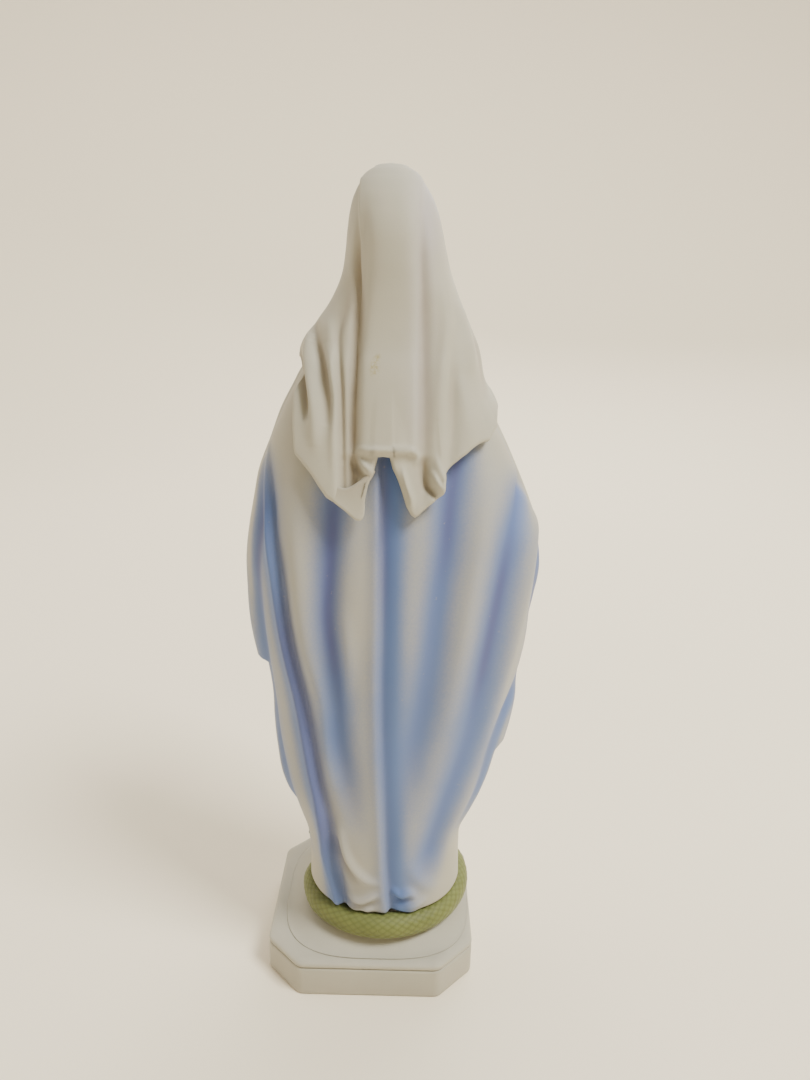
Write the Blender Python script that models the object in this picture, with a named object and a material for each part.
"""Madonna statue in bisque porcelain, as the castings that a potter lutes together.

Metres, +Z up. The figure faces -Y and stands on a chamfered plinth. Origin: on the
ground, at the middle of the statue's bounding box.
"""
from math import cos, pi, radians, sin

import bmesh
import bpy
import numpy as np
from mathutils import Matrix, Vector

MM = 0.001

# Driving dimensions, in millimetres.
HEIGHT = 270.0          # ground to crown of the veil
AXIS_X = 3.5            # the figure's upright axis
PLINTH_X = 5.9          # middle of the plinth
PLINTH_WIDTH = 72.8     # across X
PLINTH_DEPTH = 72.0     # across Y
PLINTH_CHAMFER = 12.2   # cut corners
PLINTH_SEAM = 11.0      # height of the seam line round the plinth
PLINTH_TOP = 14.0
PLINTH_WALL = 6.0
PLINTH_VENT = 6.0       # radius
CAP_OPENING = 12.0      # radius
GLOBE_X = 4.0
GLOBE_TOP = 18.0
GLOBE_HOLE = 7.0        # radius
RING_X = 2.0            # middle of the serpent's coil
RING_RADIUS = 27.6
BODY_RADIUS = 4.3       # the serpent's thickest part
RING_HEIGHT = 22.6
HEM = 27.4              # underside of the robe's hem
CLAY = 3.0              # wall of the slip-cast drapery
GAP = 0.3               # slip joint between two castings

WHITE = (0.80, 0.78, 0.72)
BLUE_WHITE = (0.62, 0.68, 0.78)
GREEN = (0.30, 0.33, 0.14)
SKIN = (0.86, 0.78, 0.70)
BLUE = (0.25, 0.36, 0.60)

for old in list(bpy.data.objects):
    bpy.data.objects.remove(old, do_unlink=True)

parts = bpy.data.collections.new("madonna_statue")
cutters = bpy.data.collections.new("cutters")
bpy.context.scene.collection.children.link(parts)
bpy.context.scene.collection.children.link(cutters)


def bisque(name, colour):
    """Unglazed porcelain in one colour."""
    material = bpy.data.materials.new(name)
    material.use_nodes = True
    shader = material.node_tree.nodes["Principled BSDF"]
    shader.inputs["Base Color"].default_value = (*colour, 1.0)
    shader.inputs["Roughness"].default_value = 0.6
    shader.inputs["Metallic"].default_value = 0.0
    return material


def add_part(name, mesh, colour):
    """A casting: an object with its own material, shaded smooth between sharp edges."""
    piece = bpy.data.objects.new(name, mesh)
    parts.objects.link(piece)
    mesh.materials.clear()
    mesh.materials.append(bisque(name + "_bisque", colour))
    mesh.shade_smooth()
    mesh.set_sharp_from_angle(angle=radians(40))
    return piece


def add_cutter(name, mesh):
    """A tool body that never shows and isn't part of the statue."""
    tool = bpy.data.objects.new(name, mesh)
    cutters.objects.link(tool)
    tool.hide_render = True
    tool.display_type = "WIRE"
    return tool


def boolean(piece, tool, operation):
    """Cut a tool out of a casting, or join it on."""
    modifier = piece.modifiers.new(tool.name, "BOOLEAN")
    modifier.operation = operation
    modifier.solver = "EXACT"
    modifier.object = tool


def through(stations, height):
    """Smooth value at a height, through (height, value) stations."""
    at = np.array([station[0] for station in stations], dtype=float)
    value = np.array([station[1] for station in stations], dtype=float)
    slope = np.gradient(value, at)
    i = int(np.clip(np.searchsorted(at, height) - 1, 0, len(at) - 2))
    step = at[i + 1] - at[i]
    t = (height - at[i]) / step
    return ((2 * t**3 - 3 * t**2 + 1) * value[i] + (t**3 - 2 * t**2 + t) * step * slope[i]
            + (3 * t**2 - 2 * t**3) * value[i + 1] + (t**3 - t**2) * step * slope[i + 1])


def oval(angles, middle, half_width, front, back, height, squareness=2.3):
    """Section of a body: a superellipse whose front and back halves differ in depth.

    Angle 0 is the middle of the front (-Y), pi the middle of the back.
    """
    across = np.sin(angles)
    along = -np.cos(angles)
    power = 2.0 / squareness
    x = middle[0] + half_width * np.sign(across) * np.abs(across) ** power
    depth = np.where(along < 0, front, back)
    y = middle[1] + depth * np.sign(along) * np.abs(along) ** power
    return np.stack([x, y, np.full_like(x, height)], axis=1)


def skin_mesh(name, rows, ring, closed_rows=False, caps=False):
    """Faces over rows of points. ring joins each row's ends, closed_rows joins last to first."""
    rows = np.array(rows) * MM
    count, width = rows.shape[:2]
    mesh = bmesh.new()
    points = [[mesh.verts.new(point) for point in row] for row in rows]
    for i in range(count if closed_rows else count - 1):
        low = points[i]
        high = points[(i + 1) % count]
        for j in range(width if ring else width - 1):
            k = (j + 1) % width
            mesh.faces.new((low[j], low[k], high[k], high[j]))
    if caps:
        mesh.faces.new(list(reversed(points[0])))
        mesh.faces.new(points[-1])
    bmesh.ops.recalc_face_normals(mesh, faces=mesh.faces)
    data = bpy.data.meshes.new(name)
    mesh.to_mesh(data)
    mesh.free()
    return data


def solid_loft(name, rows):
    """A solid through closed sections, with a flat face at each end."""
    return skin_mesh(name, rows, ring=True, caps=True)


def shell_loft(name, outer, inner):
    """A tube-like wall: up the outside, over the rim and down the inside."""
    return skin_mesh(name, list(outer) + list(reversed(inner)), ring=True, closed_rows=True)


def sheet_loft(name, outer, inner):
    """A wall with two free side edges: each row runs out along its face and back inside."""
    rows = [np.concatenate([face, back[::-1]]) for face, back in zip(outer, inner)]
    return skin_mesh(name, rows, ring=True, caps=True)


def prism(name, outline, axis, start, stop):
    """A straight block with the given outline, running along X or Y."""
    rows = []
    for place in (start, stop):
        if axis == "X":
            rows.append([(place, a, b) for a, b in outline])
        else:
            rows.append([(a, place, b) for a, b in outline])
    return solid_loft(name, rows)


# ---------------------------------------------------------------- plinth and globe

def chamfered_block(name, width, depth, chamfer, bottom, top, edge):
    """A box with four cut corners and a rounded top edge."""
    mesh = bmesh.new()
    bmesh.ops.create_cube(mesh, size=1.0)
    bmesh.ops.scale(mesh, vec=(width * MM, depth * MM, (top - bottom) * MM), verts=mesh.verts)
    upright = [e for e in mesh.edges if abs(e.verts[0].co.z - e.verts[1].co.z) > MM]
    bmesh.ops.bevel(mesh, geom=upright, offset=chamfer * MM, offset_type="OFFSET",
                    segments=1, profile=0.5, affect="EDGES", clamp_overlap=False)
    highest = max(v.co.z for v in mesh.verts)
    rim = [e for e in mesh.edges if min(v.co.z for v in e.verts) > highest - 0.01 * MM]
    if edge:
        bmesh.ops.bevel(mesh, geom=rim, offset=edge * MM, offset_type="OFFSET",
                        segments=4, profile=0.5, affect="EDGES", clamp_overlap=False)
    middle = Vector((PLINTH_X, 0, (top + bottom) / 2)) * MM
    bmesh.ops.translate(mesh, vec=middle, verts=mesh.verts)
    data = bpy.data.meshes.new(name)
    mesh.to_mesh(data)
    mesh.free()
    return data


def bore(name, radius, bottom, top, sides=32):
    """An upright round cutter on the plinth's axis."""
    mesh = bmesh.new()
    bmesh.ops.create_cone(mesh, cap_ends=True, segments=sides, radius1=radius * MM,
                          radius2=radius * MM, depth=(top - bottom) * MM,
                          matrix=Matrix.Translation(Vector((PLINTH_X, 0, (top + bottom) / 2)) * MM))
    data = bpy.data.meshes.new(name)
    mesh.to_mesh(data)
    mesh.free()
    return add_cutter(name, data)


def make_plinth():
    """The hollow slab with its vent, and the rounded tier luted on top of it."""
    slab = add_part("plinth_base", chamfered_block(
        "plinth_base", PLINTH_WIDTH, PLINTH_DEPTH, PLINTH_CHAMFER, 0, PLINTH_SEAM, 0), WHITE)
    inside = 2 * PLINTH_WALL
    hollow = chamfered_block("plinth_hollow", PLINTH_WIDTH - inside, PLINTH_DEPTH - inside,
                             PLINTH_CHAMFER - 2, -4, PLINTH_SEAM - 4, 0)
    boolean(slab, add_cutter("plinth_hollow", hollow), "DIFFERENCE")
    boolean(slab, bore("plinth_vent", PLINTH_VENT, 0, PLINTH_TOP), "DIFFERENCE")
    cap = add_part("plinth_cap", chamfered_block(
        "plinth_cap", PLINTH_WIDTH, PLINTH_DEPTH, PLINTH_CHAMFER,
        PLINTH_SEAM + GAP, PLINTH_TOP, 1.6), WHITE)
    boolean(cap, bore("cap_opening", CAP_OPENING, PLINTH_SEAM - 1, PLINTH_TOP + 1), "DIFFERENCE")


def make_globe():
    """The cushion-shaped orb under the figure, squarish in plan, with its pouring hole."""
    around = np.linspace(0, 2 * pi, 40, endpoint=False)
    outside = [(PLINTH_TOP + GAP, 32.4), (PLINTH_TOP + 1.2, 33.3), (PLINTH_TOP + 2.2, 33.0),
               (PLINTH_TOP + 3.2, 31.4), (GLOBE_TOP - 0.2, 28.5), (GLOBE_TOP, 24), (GLOBE_TOP, GLOBE_HOLE)]
    rows = []
    for height, radius in outside + [(PLINTH_TOP + GAP, GLOBE_HOLE)]:
        squareness = 2.0 + 1.2 * (radius - GLOBE_HOLE) / 26.0
        rows.append(oval(around, (GLOBE_X, 0), radius, radius, radius, height, squareness))
    add_part("globe", skin_mesh("globe", rows, ring=True, closed_rows=True), WHITE)


# ---------------------------------------------------------------- serpent

def make_serpent():
    """A tapering tube: tail under the head at the figure's left, once round, head raised."""
    turns = 64
    bend = np.linspace(radians(-28), radians(328), turns)
    share = np.linspace(0, 1, turns)
    lift = np.clip((share - 0.88) / 0.12, 0, 1)
    reach = RING_RADIUS - 1.2 * (1 - np.clip(share / 0.08, 0, 1)) + 8.6 * lift**0.9
    height = RING_HEIGHT - 1.6 * (1 - np.clip(share / 0.12, 0, 1)) + 2.4 * lift**4
    thick = BODY_RADIUS * np.clip(0.28 + 4.5 * share, 0, 1)
    neck = np.clip((share - 0.86) / 0.07, 0, 1) * np.clip((0.985 - share) / 0.055, 0, 1)
    thick = thick * (1 - 0.36 * neck)
    thick = thick * np.clip((1.012 - share) / 0.025, 0.35, 1)
    curve = bpy.data.curves.new("serpent_path", "CURVE")
    curve.dimensions = "3D"
    curve.bevel_depth = MM
    curve.bevel_resolution = 3
    curve.use_fill_caps = True
    curve.resolution_u = 1
    curve.render_resolution_u = 0
    line = curve.splines.new("POLY")
    line.points.add(turns - 1)
    for point, a, r, z, size in zip(line.points, bend, reach, height, thick):
        point.co = ((RING_X + r * cos(a)) * MM, r * sin(a) * MM, z * MM, 1)
        point.radius = size
    path = bpy.data.objects.new("serpent_path", curve)
    parts.objects.link(path)
    bpy.context.view_layer.update()
    shape = path.evaluated_get(bpy.context.evaluated_depsgraph_get())
    data = bpy.data.meshes.new_from_object(shape)
    bpy.data.objects.remove(path, do_unlink=True)
    mesh = bmesh.new()
    mesh.from_mesh(data)
    bmesh.ops.remove_doubles(mesh, verts=mesh.verts, dist=0.02 * MM)
    bmesh.ops.recalc_face_normals(mesh, faces=mesh.faces)
    mesh.to_mesh(data)
    mesh.free()
    data.name = "serpent"
    add_part("serpent", data, GREEN)


# ---------------------------------------------------------------- robe, sash, arms

ROBE_WIDTH = [(HEM, 21.2), (45, 21.6), (70, 22.4), (100, 22.0), (130, 20.5), (150, 18.0),
              (162, 16.5), (175, 17.5), (190, 18.5), (203, 18.0), (211, 15.5), (217, 11.0),
              (221, 8.4), (226, 7.8)]
ROBE_FRONT = [(HEM, 26.5), (45, 25.5), (70, 23.5), (100, 21.0), (130, 18.0), (150, 15.0),
              (162, 13.2), (175, 13.8), (190, 14.8), (203, 13.5), (211, 11.5), (217, 9.6),
              (221, 8.4), (226, 7.8)]
ROBE_BACK = [(HEM, 23.2), (45, 22.8), (70, 21.5), (100, 19.5), (130, 17.0), (150, 14.5),
             (162, 13.0), (175, 13.5), (190, 14.0), (203, 13.0), (211, 11.0), (217, 9.6),
             (221, 8.4), (226, 7.8)]
STEM = 19.5             # radius of the robe's foot inside the coil
COLLAR = 225.0
NECK_RADIUS = 5.8


def robe_section(angles, height, grow=0.0):
    """The robe's outline at a height, pushed out or in all round."""
    return oval(angles, (AXIS_X, 0), through(ROBE_WIDTH, height) + grow,
                through(ROBE_FRONT, height) + grow, through(ROBE_BACK, height) + grow, height)


def foot_mesh(name, side, grow=0.0):
    """A bare foot stepping out from the hem, as a low tapered form."""
    around = np.linspace(0, 2 * pi, 16, endpoint=False)
    stations = [(-10.0, 1.5, 2.2), (-12.0, 3.4, 4.4), (-20.0, 3.6, 4.6), (-26.0, 4.2, 4.2),
                (-30.5, 4.4, 3.4), (-33.0, 3.4, 2.6), (-34.2, 1.6, 1.4)]
    rows = []
    for y, half_width, half_height in stations:
        x = AXIS_X + side * (7.8 - 0.06 * (y + 10)) + (half_width + grow) * np.cos(around)
        rise = (half_height + grow) * np.sin(around)
        z = RING_HEIGHT + BODY_RADIUS + GAP + 0.2 + half_height + np.maximum(rise, -half_height - grow)
        shift = grow * (-1 if y < -20 else 1)
        rows.append(np.stack([x, np.full_like(x, y + shift), z], axis=1))
    return solid_loft(name, rows)


def make_robe():
    """The tunic: a hollow casting whose foot stands inside the serpent's coil."""
    around = np.linspace(0, 2 * pi, 40, endpoint=False)
    middle = (AXIS_X, 0)
    base = GLOBE_TOP + GAP
    outer = [oval(around, middle, STEM, STEM, STEM, base),
             oval(around, middle, STEM, STEM, STEM, HEM - GAP),
             oval(around, middle, 20.4, 25.6, 22.3, HEM)]
    outer += [robe_section(around, height) for height in np.linspace(HEM + 1.2, COLLAR, 20)]
    inner = [oval(around, middle, 16.0, 16.0, 16.0, base),
             oval(around, middle, 16.5, 17.0, 16.0, HEM + 2)]
    inner += [robe_section(around, height, -CLAY - 1) for height in np.linspace(HEM + 10, 208, 9)]
    inner += [oval(around, middle, NECK_RADIUS + GAP, NECK_RADIUS + GAP, NECK_RADIUS + GAP, height, 2)
              for height in (213.5, COLLAR)]
    robe = add_part("tunic", shell_loft("tunic", outer, inner), WHITE)
    for side, word in ((1, "left"), (-1, "right")):
        add_part("foot_" + word, foot_mesh("foot_" + word, side), SKIN)
        boolean(robe, add_cutter("foot_room_" + word, foot_mesh("foot_room_" + word, side, 0.4)),
                "DIFFERENCE")


def make_sash():
    """A band round the waist with two ends that hang down the front."""
    around = np.linspace(0, 2 * pi, 40, endpoint=False)
    heights = np.linspace(157, 166, 3)
    outer = [robe_section(around, height, 1.7) for height in heights]
    inner = [robe_section(around, height, GAP + 0.1) for height in heights]
    band = add_part("sash", shell_loft("sash", outer, inner), BLUE)
    for side in (1, -1):
        rows = []
        for height in np.linspace(96, 163, 9):
            drift = 1.2 + 3.2 * (163 - height) / 67
            half = 2.9 + 0.9 * (163 - height) / 67
            face = -through(ROBE_FRONT, height)
            left = AXIS_X + side * (drift + 2.0) - half
            right = left + 2 * half
            rows.append([(left, face - 1.7, height), (right, face - 1.7, height),
                         (right, face - GAP - 0.2, height), (left, face - GAP - 0.2, height)])
        tail = add_cutter("sash_end_" + ("left" if side > 0 else "right"),
                          solid_loft("sash_end", rows))
        boolean(band, tail, "UNION")


def arm_line(share, side):
    """Plan position of the forearm, from the elbow (0) to the wrist (1), and its outward normal."""
    elbow = Vector((36.0, 2.0))
    wrist = Vector((8.6, -28.6))
    place = elbow.lerp(wrist, share)
    along = (wrist - elbow).normalized()
    outward = Vector((-along.y, along.x))
    return (AXIS_X + side * place.x, place.y), (side * outward.x, outward.y)


def make_sleeve(side, word):
    """A wide sleeve: the forearm along its top, the cloth hanging in a long point behind."""
    around = np.linspace(0, 2 * pi, 20, endpoint=False)
    stations = [(0.00, 164, 150, 1.5), (0.04, 168, 132, 4.2), (0.15, 172, 121, 6.0), (0.32, 177, 116, 6.4),
                (0.50, 182, 128, 6.2), (0.70, 188, 148, 5.8), (0.88, 193, 168, 5.4), (0.97, 195, 175, 4.9),
                (1.00, 194, 177, 4.2)]
    rows = []
    for share, top, bottom, half in stations:
        place, outward = arm_line(share, side)
        swell = np.cos(around) * half
        height = (top + bottom) / 2 + np.sin(around) * (top - bottom) / 2
        hang = 1.8 * np.clip((160 - height) / 45, 0, 1)
        x = place[0] + outward[0] * (swell + hang)
        y = place[1] + outward[1] * (swell + hang)
        rows.append(np.stack([x, y, height], axis=1))
    return add_part("sleeve_" + word, solid_loft("sleeve_" + word, rows), WHITE)


def hand_rows(side, grow=0.0):
    """Sections of a hand held palm to palm with the other, square to its bending middle line.

    Each station is a middle point, the half thickness and the half breadth.
    """
    around = np.linspace(0, 2 * pi, 14, endpoint=False)
    stations = np.array([(13.2, -24.6, 181.6, 2.7, 2.7), (10.6, -27.2, 184.4, 2.7, 2.8),
                         (7.6, -29.5, 187.6, 2.6, 3.0), (4.9, -31.0, 191.4, 2.5, 3.7),
                         (3.3, -31.4, 196.4, 2.2, 4.5), (2.6, -31.0, 202.5, 1.9, 4.3),
                         (2.3, -30.3, 208.8, 1.7, 3.7), (2.1, -29.7, 213.4, 1.4, 2.6),
                         (2.0, -29.4, 215.6, 0.8, 1.2)])
    middle = stations[:, :3].copy()
    along = np.gradient(middle, axis=0)
    along /= np.linalg.norm(along, axis=1)[:, None]
    if grow:
        middle[0] -= grow * along[0]
    rows = []
    for place, way, thick, wide in zip(middle, along, stations[:, 3] + grow, stations[:, 4] + grow):
        breadth = np.array([0.0, 1.0, 0.0]) - way[1] * way
        breadth /= np.linalg.norm(breadth)
        through_palm = np.cross(way, breadth)
        depth = np.outer(np.cos(around) * thick, through_palm)
        ring = place + depth + np.outer(np.sin(around) * wide, breadth)
        rows.append(ring * (side, 1, 1) + (AXIS_X, 0, 0))
    return rows


def make_arms():
    """Sleeves with a socket for each hand's wrist stub."""
    for side, word in ((1, "left"), (-1, "right")):
        sleeve = make_sleeve(side, word)
        add_part("hand_" + word, solid_loft("hand_" + word, hand_rows(side)), SKIN)
        room = solid_loft("wrist_room_" + word, hand_rows(side, 0.5))
        boolean(sleeve, add_cutter("wrist_room_" + word, room), "DIFFERENCE")


# ---------------------------------------------------------------- mantle and veil

MANTLE_WIDTH = [(HEM, 27.2), (38, 27.4), (46, 27.9), (54, 29.8), (60, 32.6), (66, 35.3), (72, 37.3),
                (80, 38.8), (90, 40.4), (100, 41.5), (110, 43.0), (123, 45.4), (138, 47.4), (150, 48.8),
                (160, 48.1), (169, 45.6), (178, 42.6), (189, 37.6), (199, 33.0), (205, 29.6), (213, 25.4),
                (218, 20.5), (222, 15.5)]
MANTLE_BACK = [(HEM, 27.0), (46, 28.5), (60, 29.5), (80, 30.5), (100, 31.2), (120, 31.8), (135, 31.4),
               (150, 30.0), (160, 28.6), (174, 26.0), (186, 23.6), (195, 22.0), (205, 20.0), (213, 17.6),
               (218, 15.5), (222, 13.5)]
MANTLE_FRONT = [(HEM, 31.0), (60, 31.0), (100, 29.0), (150, 25.0), (174, 21.0), (186, 19.0),
                (205, 16.0), (213, 14.0), (222, 12.5)]
MANTLE_OPEN = [(HEM, 44.0), (60, 50.0), (100, 60.0), (125, 78.0), (160, 80.0), (186, 66.0), (205, 54.0),
               (222, 48.0)]
MANTLE_LEAN = [(HEM, -1.9), (38, -1.7), (48, -1.1), (60, -1.3), (72, -1.3), (80, -1.7), (90, -2.4),
               (100, -3.0), (123, -3.4), (150, -3.5), (160, -3.2), (169, -2.2), (178, -1.0), (189, -0.3),
               (199, 0.6), (205, 0.9), (213, 0.4), (222, 0.0)]
MANTLE_TOP = 221.0


def mantle_section(angles, height, grow=0.0):
    """The mantle's outline at a height; it billows over the figure's right elbow."""
    lean = AXIS_X + through(MANTLE_LEAN, height)
    return oval(angles, (lean, 0), through(MANTLE_WIDTH, height) + grow,
                through(MANTLE_FRONT, height) + grow, through(MANTLE_BACK, height) + grow, height)


def make_mantle():
    """The mantle: a wall round the back and sides, open down the front."""
    outer = []
    inner = []
    for height in np.linspace(HEM, MANTLE_TOP, 24):
        edge = radians(through(MANTLE_OPEN, height))
        angles = np.linspace(edge, 2 * pi - edge, 44)
        wall = CLAY + 1.2 * np.clip((height - 200) / 20, 0, 1)
        outer.append(mantle_section(angles, height))
        inner.append(mantle_section(angles, height, -wall))
    add_part("mantle", sheet_loft("mantle", outer, inner), BLUE_WHITE)


VEIL_WIDTH = [(168, 49.0), (178, 46.2), (186, 42.2), (195, 37.6), (205, 32.6), (210, 30.4), (216, 28.7),
              (220, 27.1), (225, 24.1), (230, 20.9), (235, 18.5), (240, 16.6), (246, 15.3), (252, 14.3),
              (257, 13.4), (262, 11.6), (266, 8.8), (268.6, 5.3), (269.8, 2.4)]
VEIL_LEAN = [(168, 0.0), (212, 0.0), (217, -0.4), (223, -0.9), (229, -1.7), (236, -2.2), (244, -1.9),
             (251, -1.4), (258, -0.9), (264, -0.4), (270, 0.0)]
VEIL_BACK = [(168, 30.6), (186, 27.4), (195, 25.6), (205, 23.6), (213, 21.3), (218, 19.4), (225, 18.0),
             (235, 17.2), (246, 17.0), (254, 16.8), (260, 15.2), (264, 12.6), (267, 9.0), (269.8, 2.6)]
VEIL_FRONT = [(168, 26.0), (205, 19.5), (222, 17.0), (235, 15.0), (250, 14.6), (258, 13.4), (263, 10.6),
              (267, 7.0), (269.8, 2.6)]
VEIL_WALL = 2.2


def hood_mesh(outer, inner):
    """A dome with a wall: both crowns closed, the rims joined along the bottom."""
    mesh = bmesh.new()
    faces = []
    for rows in (outer, inner):
        points = [[mesh.verts.new(point * MM) for point in row] for row in rows]
        for low, high in zip(points, points[1:]):
            for j in range(len(low)):
                k = (j + 1) % len(low)
                mesh.faces.new((low[j], low[k], high[k], high[j]))
        mesh.faces.new(points[-1])
        faces.append(points[0])
    outside, inside = faces
    for j in range(len(outside)):
        k = (j + 1) % len(outside)
        mesh.faces.new((outside[j], inside[j], inside[k], outside[k]))
    bmesh.ops.recalc_face_normals(mesh, faces=mesh.faces)
    data = bpy.data.meshes.new("veil")
    mesh.to_mesh(data)
    mesh.free()
    return data


def veil_section(angles, height, wall=0.0):
    """The veil's outline at a height, drawn in by a wall; the head's back leans to one side."""
    lean = AXIS_X + through(VEIL_LEAN, height)
    return oval(angles, (lean, 0), through(VEIL_WIDTH, height) - wall,
                through(VEIL_FRONT, height) - wall, through(VEIL_BACK, height) - wall, height)


def make_veil():
    """The veil: a hollow hood over the head and shoulders, cut for the face and at its hem."""
    around = np.linspace(0, 2 * pi, 44, endpoint=False)
    skirt = np.linspace(168, 258, 18)
    tip = 1.0
    outer = [veil_section(around, height) for height in (*skirt, 261, 264, 266.5, 268.3, 269.4)]
    outer.append(oval(around, (AXIS_X, 0), tip, tip, tip, HEIGHT))
    inner = []
    for height in (*skirt, 261, 264, 266):
        wall = VEIL_WALL + 0.6 * np.clip((height - 255) / 10, 0, 1)
        inner.append(veil_section(around, height, wall))
    inner.append(oval(around, (AXIS_X, 0), tip, tip, tip, HEIGHT - 2.8))
    veil = add_part("veil", hood_mesh(outer, inner), WHITE)
    front = [(-60, 276), (-9.5, 276), (-9.5, 264), (-7.5, 256), (-6.5, 246), (-6.0, 236), (-5.0, 226),
             (0.0, 218), (7.0, 210), (11.0, 200), (12.0, 186), (12.0, 150), (-60, 150)]
    boolean(veil, add_cutter("face_opening", prism("face_opening", front, "X", -80, 80)), "DIFFERENCE")
    hem = [(-60, 200), (-26, 197), (-17, 189), (-12.5, 185), (-12, 178), (-4.3, 171), (-1.5, 175),
           (-0.5, 189.6), (6.5, 189.6), (8, 182), (10, 170.5), (16, 175), (24, 185), (28.5, 190),
           (28.8, 207), (36, 213), (60, 213), (60, 150), (-60, 150)]
    boolean(veil, add_cutter("hem_line", prism("hem_line", hem, "Y", -5, 60)), "DIFFERENCE")


# ---------------------------------------------------------------- head

def make_head():
    """Head and neck in one casting; the neck's stub drops into the robe's collar."""
    mesh = bmesh.new()
    middle = Matrix.Translation(Vector((AXIS_X, -0.3, 251.2)) * MM)
    bmesh.ops.create_uvsphere(mesh, u_segments=28, v_segments=16, radius=MM,
                              matrix=middle @ Matrix.Diagonal((9.8, 12.0, 15.0, 1)))
    data = bpy.data.meshes.new("head")
    mesh.to_mesh(data)
    mesh.free()
    head = add_part("head", data, SKIN)
    around = np.linspace(0, 2 * pi, 28, endpoint=False)
    stations = [(214.0, 0.0, NECK_RADIUS - 0.4), (215.0, 0.0, NECK_RADIUS), (226.0, 0.0, NECK_RADIUS),
                (232.0, 0.6, 5.4), (240.0, 0.9, 5.8), (247.0, 0.5, 6.5)]
    rows = [oval(around, (AXIS_X, y), radius, radius, radius, height, 2)
            for height, y, radius in stations]
    boolean(head, add_cutter("neck", solid_loft("neck", rows)), "UNION")


make_plinth()
make_globe()
make_serpent()
make_robe()
make_sash()
make_arms()
make_mantle()
make_veil()
make_head()
